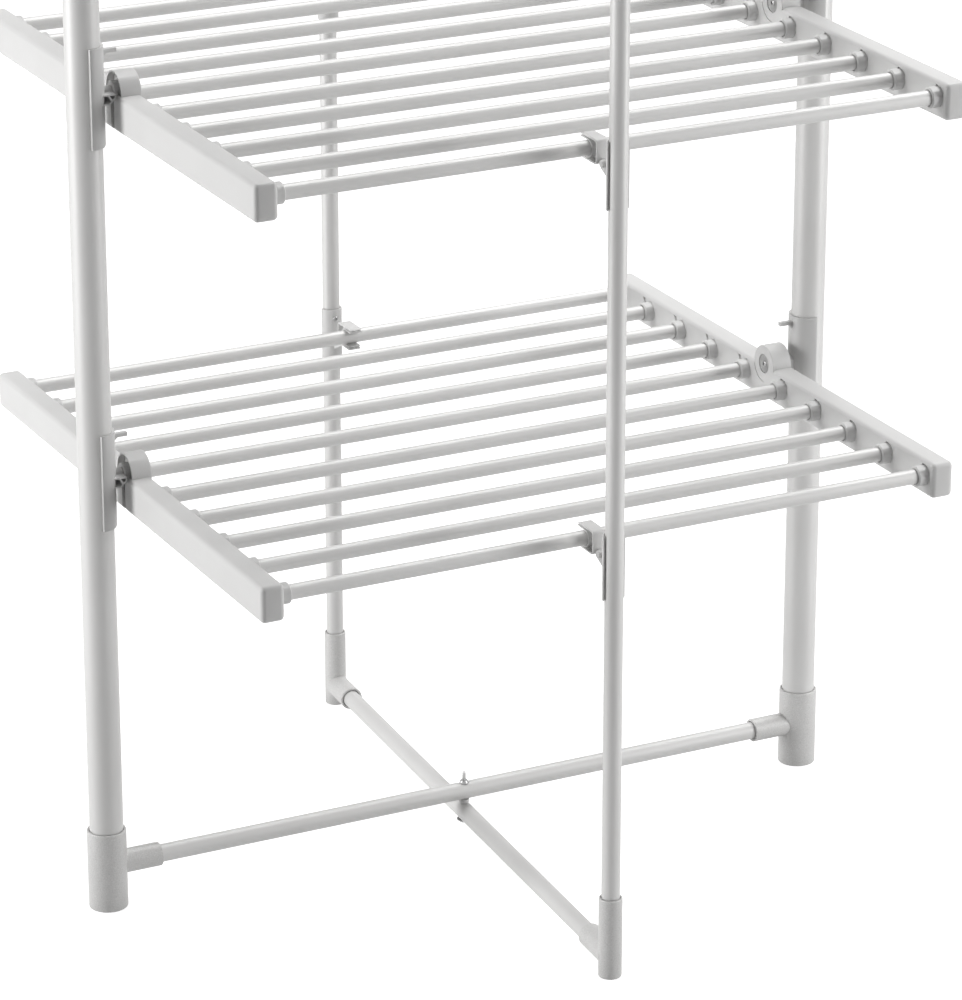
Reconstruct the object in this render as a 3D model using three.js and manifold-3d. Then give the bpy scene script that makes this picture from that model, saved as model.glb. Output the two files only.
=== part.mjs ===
// Free-standing folding clothes dryer with three tiers of winged drying bars.
// Millimetres, +Z up, origin on the floor under the centre pivot, +X to the right leg, +Y to the back.
import * as THREE from 'three';
import { mergeVertices } from 'three/addons/utils/BufferGeometryUtils.js';
import Module from 'manifold-3d';

const wasm = await Module();
wasm.setup();

// Driving sizes of the frame
const legSpan = 700;
const legDiameter = 30;
const legWall = 1.5;
const poleSpan = 640;
const poleDiameter = 16;
const poleWall = 1;
const poleSkewDegrees = 3.5;
const frameHeight = 1380;
const clearance = 0.3;
const cutOverrun = 5;

// Tiers and wings
const tierNames = ['lower', 'middle', 'upper'];
const firstTierHeight = 402;
const tierSpacing = 338;
const barsPerWing = 5;
const barDiameter = 13;
const barWall = 1;
const barCentreGap = 66;
const barDrop = 14;
const railTail = 15;
const railThickness = 21;
const railHeight = 32;
const railRound = 3.5;
const railEndRound = 3;
const railStandoff = 9;
const barSocketDepth = 14;
const collarDiameter = 18;
const collarLength = 9;

// Wing hinges
const pivotRise = 0.7;
const knuckleRadius = 17.3;
const knuckleWidth = 18.4;
const knuckleWall = 1.5;
const knuckleFloor = 12;
const lugRadius = 9;
const railShoulder = 7;
const pinDiameter = 8;
const pinHeadDiameter = 19;
const pinHeadDepth = 2;
const pinHeadInset = 0.5;

// Hinge brackets on the thick legs
const bracketWall = 2.4;
const bracketRise = 43;
const bracketFall = 43;
const bracketBossDiameter = 11;
const bracketArmWidth = 27;
const bracketArmDepth = 9.2;
const bracketArmRise = 1.5;
const bracketArmChamfer = 5.5;
const tabDrop = 5;
const tabThickness = 3.4;
const tabWidth = 4.2;
const tabReach = 29.5;
const tabGusset = 3;

// Clips on the thin legs
const clipReach = 42.4;
const clipWall = 2.7;
const clipRise = 16;
const clipFall = 41;
const hookWidth = 11.5;
const hookBack = 11.5;
const hookReach = 12.3;
const hookRise = 10.5;
const hookFall = 10.4;
const hookRound = 3;
const webThickness = 4;
const webRise = 4;
const webKnee = 13.5;
const webFoot = 22;
const clipBossDiameter = 6.4;
const clipBossLength = 8;

// Feet, base tubes and leg caps
const footHeight = 74;
const footFloor = 5;
const footEdgeRound = 2.5;
const legFootWall = 2.1;
const poleFootWall = 1.9;
const baseTubeDiameter = 16;
const baseTubeWall = 1.2;
const lowTubeHeight = 19.5;
const spacerHeight = 4;
const footSocketLength = 32;
const footSocketWall = 1.6;
const footSocketTaper = 0.5;
const capHeight = 6;
const capWall = 1;
const capCrown = 4;

// Centre pivot
const boltDiameter = 4;
const boltHeadDiameter = 13;
const boltHeadHeight = 3;
const nutDiameter = 7.5;
const nutHeight = 2.5;
const nutCrown = 2;
const boltTipLength = 7;
const boltTipDiameter = 3.2;
const spacerDiameter = 9.5;

// Facets round each kind of circle
const legSides = 16;
const poleSides = 12;
const barSides = 8;
const pinSides = 10;
const knuckleSides = 20;
const cornerSteps = 1;

// Finishes
const aluminium = { color: 0xc9c9c7, roughness: 0.34, metalness: 0.85 };
const plastic = { color: 0xd6d6d4, roughness: 0.5, metalness: 0 };
const footPlastic = { color: 0xc8c8c6, roughness: 0.55, metalness: 0.1 };
const steel = { color: 0xb4b6b8, roughness: 0.25, metalness: 1 };

// Places worked out from the sizes above
const legRadius = legDiameter / 2;
const poleRadius = poleDiameter / 2;
const barRadius = barDiameter / 2;
const baseTubeRadius = baseTubeDiameter / 2;
const pinRadius = pinDiameter / 2;
const boltRadius = boltDiameter / 2;
const railOuter = legSpan / 2 - legRadius - railStandoff;
const railInner = railOuter - railThickness;
const knuckleFace = railInner + knuckleWidth;
const cupFloor = railInner + knuckleFloor;
const socketBottom = railInner + barSocketDepth;
const bracketRadius = legRadius + bracketWall;
const clipRadius = poleRadius + clearance + clipWall;
const highTubeHeight = lowTubeHeight + baseTubeDiameter + spacerHeight;
const poleSkew = THREE.MathUtils.degToRad(poleSkewDegrees);
const poleX = -Math.sin(poleSkew) * poleSpan / 2;
const poleY = -Math.cos(poleSkew) * poleSpan / 2;
const outerBarPlace = -poleY - clipReach;
const barPitch = (outerBarPlace - barCentreGap / 2) / (barsPerWing - 1);
const barPlaces = Array.from({ length: barsPerWing }, (_, n) => barCentreGap / 2 + n * barPitch);
const railLength = outerBarPlace + railTail;
const roundedCorner = 1 - Math.SQRT1_2;

// Closed geometry as a solid that can be joined and cut
function solid(geometry) {
  const bare = geometry.index ? geometry.toNonIndexed() : geometry.clone();
  for (const name of Object.keys(bare.attributes)) {
    if (name !== 'position') bare.deleteAttribute(name);
  }
  const merged = mergeVertices(bare);
  const mesh = new wasm.Mesh({
    numProp: 3,
    vertProperties: merged.attributes.position.array,
    triVerts: new Uint32Array(merged.index.array),
  });
  return new wasm.Manifold(mesh);
}

function joined(pieces) {
  return pieces.reduce((whole, piece) => whole.add(piece));
}

// Names a solid, gives it its finish and hangs it in its group
function addNode(name, manifold, look, group) {
  const made = manifold.getMesh();
  const geometry = new THREE.BufferGeometry();
  geometry.setAttribute('position', new THREE.BufferAttribute(made.vertProperties, 3));
  geometry.setIndex(new THREE.BufferAttribute(made.triVerts, 1));
  const mesh = new THREE.Mesh(geometry, new THREE.MeshStandardMaterial(look));
  mesh.name = name;
  group.add(mesh);
  return mesh;
}

// A turned form about +Z from a profile of [radius, height] points, listed upwards on its outer side
function turned(profile, sides) {
  const points = profile.map(([radius, height]) => new THREE.Vector2(radius, height));
  const geometry = new THREE.LatheGeometry(points, sides);
  geometry.rotateX(Math.PI / 2);
  return geometry;
}

function rod(radius, low, high, sides) {
  return turned([[0, low], [radius, low], [radius, high], [0, high]], sides);
}

function tube(radius, wall, low, high, sides) {
  const inner = radius - wall;
  return turned([[inner, low], [radius, low], [radius, high], [inner, high], [inner, low]], sides);
}

// The same form laid along +X instead of +Z, on an axis at the given y and z
function alongX(geometry, y, z) {
  geometry.rotateY(Math.PI / 2);
  geometry.translate(0, y, z);
  return geometry;
}

function rodAlongX(radius, from, to, y, z, sides) {
  return solid(alongX(rod(radius, Math.min(from, to), Math.max(from, to), sides), y, z));
}

function block(cornerA, cornerB) {
  const low = new THREE.Vector3(...cornerA).min(new THREE.Vector3(...cornerB));
  const high = new THREE.Vector3(...cornerA).max(new THREE.Vector3(...cornerB));
  const size = high.clone().sub(low);
  const middle = low.clone().add(high).multiplyScalar(0.5);
  const geometry = new THREE.BoxGeometry(size.x, size.y, size.z);
  geometry.translate(middle.x, middle.y, middle.z);
  return solid(geometry);
}

function outline(points) {
  return new THREE.Shape(points.map(([across, up]) => new THREE.Vector2(across, up)));
}

function roundedRectangle(left, right, bottom, top, round) {
  const shape = new THREE.Shape();
  shape.moveTo(left + round, bottom);
  shape.lineTo(right - round, bottom);
  shape.absarc(right - round, bottom + round, round, -Math.PI / 2, 0);
  shape.lineTo(right, top - round);
  shape.absarc(right - round, top - round, round, 0, Math.PI / 2);
  shape.lineTo(left + round, top);
  shape.absarc(left + round, top - round, round, Math.PI / 2, Math.PI);
  shape.lineTo(left, bottom + round);
  shape.absarc(left + round, bottom + round, round, Math.PI, Math.PI * 1.5);
  return shape;
}

// An outline drawn in x and z, given a width centred on y = 0
function plateAcrossY(shape, width) {
  const geometry = new THREE.ExtrudeGeometry(shape, {
    depth: width, bevelEnabled: false, curveSegments: cornerSteps,
  });
  geometry.rotateX(Math.PI / 2);
  geometry.translate(0, width / 2, 0);
  return solid(geometry);
}

// An outline drawn in y and z, given a width centred on x = 0
function plateAcrossX(shape, width) {
  const geometry = new THREE.ExtrudeGeometry(shape, {
    depth: width, bevelEnabled: false, curveSegments: cornerSteps,
  });
  geometry.rotateX(Math.PI / 2);
  geometry.rotateZ(Math.PI / 2);
  geometry.translate(-width / 2, 0, 0);
  return solid(geometry);
}

// Foot: a T fitting, sleeve upright, with the side socket for a base tube pointing along +X
function makeFoot(legTubeRadius, wall, tubeHeight, sides) {
  const sleeveRadius = legTubeRadius + clearance + wall;
  const sleeve = turned([
    [0, 0],
    [sleeveRadius - footEdgeRound, 0],
    [sleeveRadius - footEdgeRound * roundedCorner, footEdgeRound * roundedCorner],
    [sleeveRadius, footEdgeRound],
    [sleeveRadius, footHeight],
    [0, footHeight],
  ], sides);
  const boreRadius = baseTubeRadius + clearance;
  const mouthRadius = boreRadius + footSocketWall;
  const socketEnd = sleeveRadius + footSocketLength;
  const socket = alongX(turned([
    [0, 0],
    [mouthRadius + footSocketTaper, 0],
    [mouthRadius, socketEnd],
    [0, socketEnd],
  ], poleSides), 0, tubeHeight);
  const legBore = rod(legTubeRadius + clearance, footFloor, footHeight + cutOverrun, sides);
  const tubeBore = rodAlongX(
    boreRadius, sleeveRadius, socketEnd + cutOverrun, 0, tubeHeight, poleSides,
  );
  return solid(sleeve).add(solid(socket)).subtract(solid(legBore)).subtract(tubeBore);
}

// Upright tube, open at its foot, with a crowned cap that stands a little proud of it
function makeUpright(radius, wall, sides) {
  const low = footFloor + clearance;
  const capLow = frameHeight - capHeight - capCrown;
  const capRadius = radius + capWall;
  return solid(turned([
    [radius - wall, low],
    [radius, low],
    [radius, capLow],
    [capRadius, capLow],
    [capRadius, frameHeight - capCrown],
    [capRadius * Math.SQRT1_2, frameHeight - capCrown * roundedCorner],
    [0, frameHeight],
    [0, capLow],
    [radius - wall, capLow],
    [radius - wall, low],
  ], sides));
}

// Base tube along x, drilled at the middle for the pivot bolt, its ends a clearance short of the sockets
function makeBaseTube(span, sleeveRadius, height) {
  const half = span / 2 - sleeveRadius - clearance;
  const bare = solid(alongX(tube(baseTubeRadius, baseTubeWall, -half, half, poleSides), 0, height));
  const drill = rod(
    boltRadius + clearance, height - baseTubeDiameter, height + baseTubeDiameter, pinSides,
  );
  return bare.subtract(solid(drill));
}

// Hinge bracket of one tier on a leg that stands at x = 0, with the wings towards +X
function makeBracket(railTop) {
  const low = railTop - bracketFall;
  const high = railTop + bracketRise;
  const pivotHeight = railTop + pivotRise;
  const seat = legRadius + bracketWall / 2;
  const armEnd = legRadius + railStandoff - clearance;
  const sleeve = solid(tube(bracketRadius, bracketWall + legWall / 2, low, high, legSides)).subtract(
    block(
      [-bracketRadius - cutOverrun, -bracketRadius - cutOverrun, low - cutOverrun],
      [0, bracketRadius + cutOverrun, high + cutOverrun],
    ),
  );
  const boss = rodAlongX(bracketBossDiameter / 2, seat, armEnd, 0, pivotHeight, poleSides);
  const armTop = pivotHeight + bracketArmRise;
  const armBottom = armTop - bracketArmDepth;
  const legRoom = solid(rod(legRadius - legWall / 2, low, high, legSides));
  const arm = plateAcrossY(outline([
    [0, armTop],
    [0, armBottom],
    [armEnd - bracketArmChamfer, armBottom],
    [armEnd, armBottom + bracketArmChamfer],
    [armEnd, armTop],
  ]), bracketArmWidth).subtract(legRoom);
  const tabTop = high - tabDrop;
  const tabBottom = tabTop - tabThickness;
  const tab = plateAcrossY(outline([
    [seat, tabTop],
    [seat, tabBottom - tabGusset],
    [bracketRadius, tabBottom - tabGusset],
    [bracketRadius + tabGusset, tabBottom],
    [tabReach, tabBottom],
    [tabReach, tabTop],
  ]), tabWidth);
  return joined([sleeve, boss, arm, tab, makePin(pivotHeight, armEnd)]);
}

// Hinge pin, running from the bracket through both rails to a screw head sunk in the inner face
function makePin(pivotHeight, armEnd) {
  const headTop = legRadius + railStandoff + railThickness - pinHeadInset;
  const headBottom = headTop - pinHeadDepth;
  const shankTop = headTop - pinHeadDepth / 2;
  const shank = rodAlongX(pinRadius, armEnd - pinRadius, shankTop, 0, pivotHeight, pinSides);
  const head = rodAlongX(pinHeadDiameter / 2, headBottom, headTop, 0, pivotHeight, poleSides);
  return shank.add(head);
}

function makeLeg() {
  const brackets = tierNames.map((_, tier) => makeBracket(firstTierHeight + tier * tierSpacing));
  return joined([makeUpright(legRadius, legWall, legSides), ...brackets]);
}

// Clip of one tier on a pole that stands at y = 0: half a sleeve, a web and a hook open towards +Y
function makeClip(barHeight) {
  const barDistance = clipReach;
  const low = barHeight - clipFall;
  const high = barHeight + clipRise;
  const sleeve = solid(tube(clipRadius, clipWall, low, high, poleSides)).subtract(
    block(
      [-clipRadius - cutOverrun, -clipRadius - cutOverrun, low - cutOverrun],
      [clipRadius + cutOverrun, 0, high + cutOverrun],
    ),
  );
  const hookBackFace = barDistance - hookBack;
  const hookFront = barDistance + hookReach;
  const hookBottom = barHeight - hookFall;
  const hookTop = barHeight + hookRise;
  const hook = plateAcrossX(
    roundedRectangle(hookBackFace, hookFront, hookBottom, hookTop, hookRound), hookWidth,
  );
  const seat = poleRadius + clearance + clipWall / 2;
  const web = plateAcrossX(outline([
    [seat, barHeight + webRise],
    [seat, barHeight - webFoot],
    [clipRadius, barHeight - webFoot],
    [hookBackFace, barHeight - webKnee],
    [hookBackFace + hookRound, hookBottom + hookRound],
    [hookBackFace + hookRound, barHeight + webRise],
  ]), webThickness);
  const bossMiddle = (clipRadius + hookBackFace) / 2;
  const boss = rodAlongX(
    clipBossDiameter / 2, -clipBossLength / 2, clipBossLength / 2, bossMiddle, barHeight, barSides,
  );
  const slotRadius = barRadius + clearance;
  const slotReach = hookWidth / 2 + cutOverrun;
  const slotSeat = rodAlongX(slotRadius, -slotReach, slotReach, barDistance, barHeight, poleSides);
  const slotMouth = block(
    [-slotReach, barDistance, barHeight - slotRadius],
    [slotReach, hookFront + cutOverrun, barHeight + slotRadius],
  );
  return joined([sleeve, hook, web, boss]).subtract(slotSeat).subtract(slotMouth);
}

// Rail moulding with a rounded outer end, reaching from the hinge towards -Y (way -1) or +Y (way 1)
function makeRailBody(side, way, railTop) {
  const geometry = new THREE.ExtrudeGeometry(
    roundedRectangle(-railThickness / 2, railThickness / 2, -railHeight / 2, railHeight / 2, railRound),
    {
      depth: railLength + cutOverrun - railEndRound,
      bevelThickness: railEndRound,
      bevelSize: railEndRound,
      bevelOffset: -railEndRound,
      bevelSegments: cornerSteps,
      curveSegments: cornerSteps,
    },
  );
  geometry.translate(0, 0, -cutOverrun);
  geometry.rotateX(-way * Math.PI / 2);
  geometry.translate(side * (railOuter - railThickness / 2), 0, railTop - railHeight / 2);
  const overlap = railOuter + cutOverrun;
  return solid(geometry).subtract(block(
    [-overlap, -way * (cutOverrun * 2 + railEndRound), railTop - railHeight - cutOverrun],
    [overlap, way * clearance / 2, railTop + cutOverrun],
  ));
}

// Front rails carry the knuckle, a cup that opens towards the leg; their outer wall stops short of it
function hingeFrontRail(body, side, pivotHeight) {
  const cut = railOuter + cutOverrun;
  const knuckle = rodAlongX(
    knuckleRadius, side * railInner, side * knuckleFace, 0, pivotHeight, knuckleSides,
  );
  const cup = rodAlongX(
    knuckleRadius - knuckleWall, side * cupFloor, side * knuckleFace, 0, pivotHeight, knuckleSides,
  );
  const lugRoom = rodAlongX(
    lugRadius + clearance, side * cupFloor, side * cut, 0, pivotHeight, knuckleSides,
  );
  const railBottom = pivotHeight - pivotRise - railHeight;
  const notch = block(
    [side * knuckleFace, -railShoulder, railBottom - cutOverrun],
    [side * cut, cutOverrun, pivotHeight + cutOverrun],
  );
  const headRoom = rodAlongX(
    pinHeadDiameter / 2 + clearance,
    side * (railInner - cutOverrun),
    side * (railInner + pinHeadInset + pinHeadDepth + clearance),
    0, pivotHeight, knuckleSides,
  );
  return body.add(knuckle).subtract(cup).subtract(lugRoom).subtract(notch).subtract(headRoom);
}

// Rear rails carry a lug that reaches from their outer wall into the cup, on the same pin
function hingeRearRail(body, side, pivotHeight) {
  const knuckleRoom = rodAlongX(
    knuckleRadius + clearance, side * (railInner - cutOverrun), side * (knuckleFace + clearance),
    0, pivotHeight, knuckleSides,
  );
  const lug = rodAlongX(
    lugRadius, side * (cupFloor + clearance), side * railOuter, 0, pivotHeight, poleSides,
  );
  return body.subtract(knuckleRoom).add(lug);
}

function makeRail(side, way, railTop) {
  const pivotHeight = railTop + pivotRise;
  const barHeight = railTop - barDrop;
  const hinge = way < 0 ? hingeFrontRail : hingeRearRail;
  const hinged = hinge(makeRailBody(side, way, railTop), side, pivotHeight);
  const collarRadius = collarDiameter / 2;
  const collars = barPlaces.map((place) => {
    const seat = side * (railInner + railThickness / 2);
    const face = side * (railInner - collarLength);
    return rodAlongX(collarRadius, seat, face, way * place, barHeight, barSides);
  });
  const mouth = railInner - collarLength - cutOverrun;
  const bores = barPlaces.map((place) => rodAlongX(
    barRadius + clearance, side * mouth, side * socketBottom, way * place, barHeight, barSides,
  ));
  const pinBore = rodAlongX(
    pinRadius + clearance, side * (railInner - cutOverrun), side * (railOuter + cutOverrun),
    0, pivotHeight, pinSides,
  );
  return joined([hinged, ...collars]).subtract(joined([...bores, pinBore]));
}

function makeBar(place, barHeight) {
  const half = socketBottom - clearance;
  return solid(alongX(tube(barRadius, barWall, -half, half, barSides), place, barHeight));
}

// Pivot bolt with its domed head below the low tube and its nut on the high tube
function makeBolt() {
  const headTop = lowTubeHeight - baseTubeRadius - clearance;
  const nutBottom = highTubeHeight + baseTubeRadius + clearance;
  const nutTop = nutBottom + nutHeight;
  const tip = nutTop + nutCrown + boltTipLength;
  const boltHeadRadius = boltHeadDiameter / 2;
  const nutRadius = nutDiameter / 2;
  return solid(turned([
    [0, headTop - boltHeadHeight],
    [boltHeadRadius * Math.SQRT1_2, headTop - boltHeadHeight],
    [boltHeadRadius, headTop - boltHeadHeight / 2],
    [boltHeadRadius, headTop],
    [boltRadius, headTop],
    [boltRadius, nutBottom],
    [nutRadius, nutBottom],
    [nutRadius, nutTop],
    [nutRadius * Math.SQRT1_2, nutTop + nutCrown / 2],
    [boltTipDiameter / 2, nutTop + nutCrown],
    [boltTipDiameter / 2, tip],
    [0, tip],
  ], pinSides));
}

function makeSpacer() {
  const low = lowTubeHeight + baseTubeRadius + clearance;
  const high = highTubeHeight - baseTubeRadius - clearance;
  const bore = boltRadius + clearance;
  return solid(tube(spacerDiameter / 2, spacerDiameter / 2 - bore, low, high, poleSides));
}

const dryer = new THREE.Group();

// Main frame: two thick legs, their feet, the upper base tube and the centre pivot
const mainFrame = new THREE.Group();
dryer.add(mainFrame);
const legFootRadius = legRadius + clearance + legFootWall;
for (const [name, side] of [['left', -1], ['right', 1]]) {
  const stand = new THREE.Group();
  stand.position.x = side * legSpan / 2;
  stand.rotation.z = side > 0 ? Math.PI : 0;
  mainFrame.add(stand);
  addNode(`${name}_leg`, makeLeg(), aluminium, stand);
  addNode(`${name}_leg_foot`, makeFoot(legRadius, legFootWall, highTubeHeight, legSides), footPlastic, stand);
}
addNode('upper_base_tube', makeBaseTube(legSpan, legFootRadius, highTubeHeight), aluminium, mainFrame);
addNode('centre_pivot_bolt', makeBolt(), steel, mainFrame);
addNode('centre_pivot_spacer', makeSpacer(), plastic, mainFrame);

// Cross frame: two thin legs, their feet and clips, and the lower base tube
const crossFrame = new THREE.Group();
crossFrame.rotation.z = Math.PI / 2 - poleSkew;
dryer.add(crossFrame);
const poleFootRadius = poleRadius + clearance + poleFootWall;
for (const [name, side] of [['front', -1], ['rear', 1]]) {
  const stand = new THREE.Group();
  stand.position.x = side * poleSpan / 2;
  stand.rotation.z = side > 0 ? Math.PI : 0;
  crossFrame.add(stand);
  addNode(`${name}_pole`, makeUpright(poleRadius, poleWall, poleSides), aluminium, stand);
  addNode(`${name}_pole_foot`, makeFoot(poleRadius, poleFootWall, lowTubeHeight, poleSides), footPlastic, stand);
  const clips = new THREE.Group();
  clips.position.set(-side * poleX, -side * poleY, 0);
  clips.rotation.z = side > 0 ? Math.PI : 0;
  dryer.add(clips);
  tierNames.forEach((tierName, tier) => {
    const barHeight = firstTierHeight + tier * tierSpacing - barDrop;
    addNode(`${tierName}_${name}_pole_clip`, makeClip(barHeight), plastic, clips);
  });
}
addNode('lower_base_tube', makeBaseTube(poleSpan, poleFootRadius, lowTubeHeight), aluminium, crossFrame);

// Wings: two rails and five bars each, at the front and the rear of every tier
tierNames.forEach((tierName, tier) => {
  const railTop = firstTierHeight + tier * tierSpacing;
  for (const [wingName, way] of [['front', -1], ['rear', 1]]) {
    const wing = new THREE.Group();
    dryer.add(wing);
    for (const [sideName, side] of [['left', -1], ['right', 1]]) {
      addNode(`${tierName}_${wingName}_${sideName}_rail`, makeRail(side, way, railTop), plastic, wing);
    }
    barPlaces.forEach((place, n) => {
      addNode(
        `${tierName}_${wingName}_bar_${n + 1}`, makeBar(way * place, railTop - barDrop), aluminium, wing,
      );
    });
  }
});

export default dryer;
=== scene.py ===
"""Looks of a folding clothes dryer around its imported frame. Metres, +Z up, bars along X."""
import math

import bmesh
import bpy
from mathutils import Matrix, Vector


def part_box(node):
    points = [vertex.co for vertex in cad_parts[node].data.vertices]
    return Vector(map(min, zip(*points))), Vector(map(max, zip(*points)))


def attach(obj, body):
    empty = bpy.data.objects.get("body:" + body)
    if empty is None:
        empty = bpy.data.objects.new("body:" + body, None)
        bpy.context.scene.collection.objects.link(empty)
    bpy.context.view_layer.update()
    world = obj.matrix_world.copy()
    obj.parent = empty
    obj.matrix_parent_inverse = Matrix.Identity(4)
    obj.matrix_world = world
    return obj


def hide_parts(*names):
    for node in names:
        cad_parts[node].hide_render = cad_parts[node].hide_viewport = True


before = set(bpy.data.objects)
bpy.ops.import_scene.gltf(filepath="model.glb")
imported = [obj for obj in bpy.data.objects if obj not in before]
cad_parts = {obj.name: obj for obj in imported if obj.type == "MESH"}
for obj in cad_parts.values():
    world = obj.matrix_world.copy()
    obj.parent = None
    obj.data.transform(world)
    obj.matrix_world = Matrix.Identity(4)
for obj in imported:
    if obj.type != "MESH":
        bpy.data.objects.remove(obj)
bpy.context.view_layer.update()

MM = 0.001
TIERS = ("lower", "middle", "upper")
WINGS = (("front", -1), ("rear", 1))
SIDES = (("left", -1), ("right", 1))
BARS_PER_WING = 5

# Camera that was fitted to the photograph: its place in metres, its angles and its focal length
CAMERA_PLACE = (-1.7394, -3.5068, 1.8224)
CAMERA_YAW = 26.608
CAMERA_PITCH = 20.968
FOCAL_PIXELS = 4715.8
LONG_SIDE_PIXELS = 1000

# Facets round a full circle, and in a rounded corner
ROUND = 64
FINE = 40
SMALL = 28
CORNER = 6

# Edges: the least angle of a sharp one and of one that gets rounded, and the rounding's facets
SMOOTH_ANGLE = math.radians(32)
BEVEL_ANGLE = math.radians(40)
BEVEL_SEGMENTS = 2

# How far cutting bodies reach past what they cut
OVERRUN = 1 * MM
LONG_OVERRUN = 5 * MM
BORE_OVERRUN = 20 * MM

# Tubes
LEG_RADIUS = 15 * MM
LEG_WALL = 1.5 * MM
POLE_RADIUS = 8 * MM
POLE_WALL = 1 * MM
BAR_RADIUS = 6.5 * MM
BAR_WALL = 1 * MM
BASE_RADIUS = 8 * MM
BASE_WALL = 1.2 * MM
TUBE_EDGE = 0.35 * MM

# Caps on the tube tops
CAP_LIP = 1 * MM
CAP_SKIRT = 6 * MM
CAP_CROWN = 4 * MM

# Feet
FOOT_GAP = 0.7 * MM
FOOT_EDGE = 1.2 * MM
FOOT_EDGE_SHARE = 0.3
FOOT_RIM_EDGE = 1.1 * MM
FOOT_BORE_DEPTH = 24 * MM
SOCKET_WALL = 1.9 * MM
SOCKET_GAP = 0.8 * MM
SOCKET_EDGE = 0.4 * MM
SOCKET_BORE_DEPTH = 20 * MM

# Rails
RAIL_THICKNESS = 21 * MM
RAIL_HEIGHT = 32 * MM
RAIL_ROUND = 4.3 * MM
RAIL_END_ROUND = 4.3 * MM
RAIL_LEAST_ROUND = 0.4 * MM
RAIL_EDGE = 0.35 * MM
RAIL_SHOULDER = 7 * MM
KNUCKLE_RADIUS = 17.3 * MM
KNUCKLE_WIDTH = 18.4 * MM
KNUCKLE_WALL = 1.5 * MM
KNUCKLE_FLOOR = 12 * MM
KNUCKLE_EDGE = 0.8 * MM
LUG_RADIUS = 9 * MM
LUG_EDGE = 0.4 * MM
RUNNING_GAP = 0.3 * MM
PIVOT_RISE = 0.7 * MM
COLLAR_RADIUS = 9 * MM
COLLAR_LENGTH = 9 * MM
COLLAR_ROOT = 4 * MM
COLLAR_EDGE = 0.9 * MM
COLLAR_BORE = 7.1 * MM
COLLAR_BORE_DEPTH = 12 * MM
POCKET_FRONT = 2 * MM
POCKET_LEAST_DEPTH = 0.3 * MM
POCKET_DEPTH = 2 * MM
POCKET_WIDTH = 16 * MM
POCKET_LEAN = 6 * MM
POCKET_TOP_GAP = 3.6 * MM
HEAD_RECESS_RADIUS = 8.8 * MM
HEAD_RECESS_DEPTH = 1.6 * MM

# Hinge pins. The turn of a screw and its step from tier to tier are in degrees
WASHER_RADIUS = 8.3 * MM
WASHER_HEIGHT = 1.2 * MM
WASHER_DISH = 0.7 * MM
WASHER_EDGE = 0.25 * MM
WASHER_SINK = 0.1 * MM
SCREW_RADIUS = 3 * MM
SCREW_MARGIN = 0.6 * MM
SCREW_HEIGHT = 1.5 * MM
SCREW_SLOT_WIDTH = 0.9 * MM
SCREW_SLOT_DEPTH = 1 * MM
SCREW_SLOT_SHARE = 0.62
SCREW_TURN = 25
SCREW_TURN_STEP = 40

# Hinge brackets. The wrap round the leg and the lip at its cut edge are in degrees
BRACKET_GAP = 0.1 * MM
BRACKET_RADIUS = 17.4 * MM
BRACKET_REACH = 43 * MM
BRACKET_WRAP = 93.3
BRACKET_LIP = 3
BRACKET_CORNER = 5.5 * MM
BRACKET_EDGE = 0.2 * MM
ARM_WIDTH = 27 * MM
ARM_TOP = PIVOT_RISE + 1.5 * MM
ARM_DEPTH = 9.2 * MM
ARM_CHAMFER = 5.5 * MM
ARM_WALL = 1.3 * MM
ARM_POCKET_START = 12 * MM
ARM_RIB_TOP = 17.2 * MM
ARM_RIB_FOOT = 19.95 * MM
ARM_MIDDLE_WALL = 2 * MM
BOSS_RADIUS = 5.5 * MM
TAB_TOP = 38 * MM
TAB_THICKNESS = 3.4 * MM
TAB_WIDTH = 4.2 * MM
TAB_REACH = 29.5 * MM
TAB_GUSSET = 3 * MM

# Clips. The step between the rings of the screw's crown is in degrees
CLIP_INNER = 8.8 * MM
CLIP_OUTER = 10.1 * MM
CLIP_PAD_WIDTH = 6 * MM
CLIP_SCREW_RADIUS = 2.45 * MM
CLIP_SCREW_HEIGHT = 1.2 * MM
CLIP_SCREW_DROP = 8.4 * MM
CLIP_SCREW_STEP = 12
CLIP_RISE = 16 * MM
CLIP_FALL = 41 * MM
CLIP_EDGE = 0.3 * MM
HOOK_WIDTH = 11.5 * MM
HOOK_BACK = 15.5 * MM
HOOK_REACH = 12.3 * MM
HOOK_RISE = 10.5 * MM
HOOK_FALL = 10.4 * MM
HOOK_ROUND = 3 * MM
HOOK_WALL = 1.5 * MM
HOOK_HALF_FLOOR = 1 * MM
HOLLOW_OVERRUN = 6 * MM
MOUTH_OVERRUN = 8 * MM
SEAT_RADIUS = 6.75 * MM
SEAT_WALL = 1.2 * MM
LIP_LENGTH = 9 * MM
WEB_THICKNESS = 3.4 * MM
WEB_RISE = -5.5 * MM
WEB_KNEE = 13.5 * MM
WEB_FOOT = 22 * MM
WEB_OVERLAP = 1 * MM
CLIP_BOSS_SETBACK = 5 * MM
CLIP_BOSS_DROP = 8.2 * MM
CLIP_BOSS_RADIUS = 3.2 * MM
CLIP_BOSS_LENGTH = 9 * MM
CLIP_BOSS_EDGE = 0.4 * MM

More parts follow.
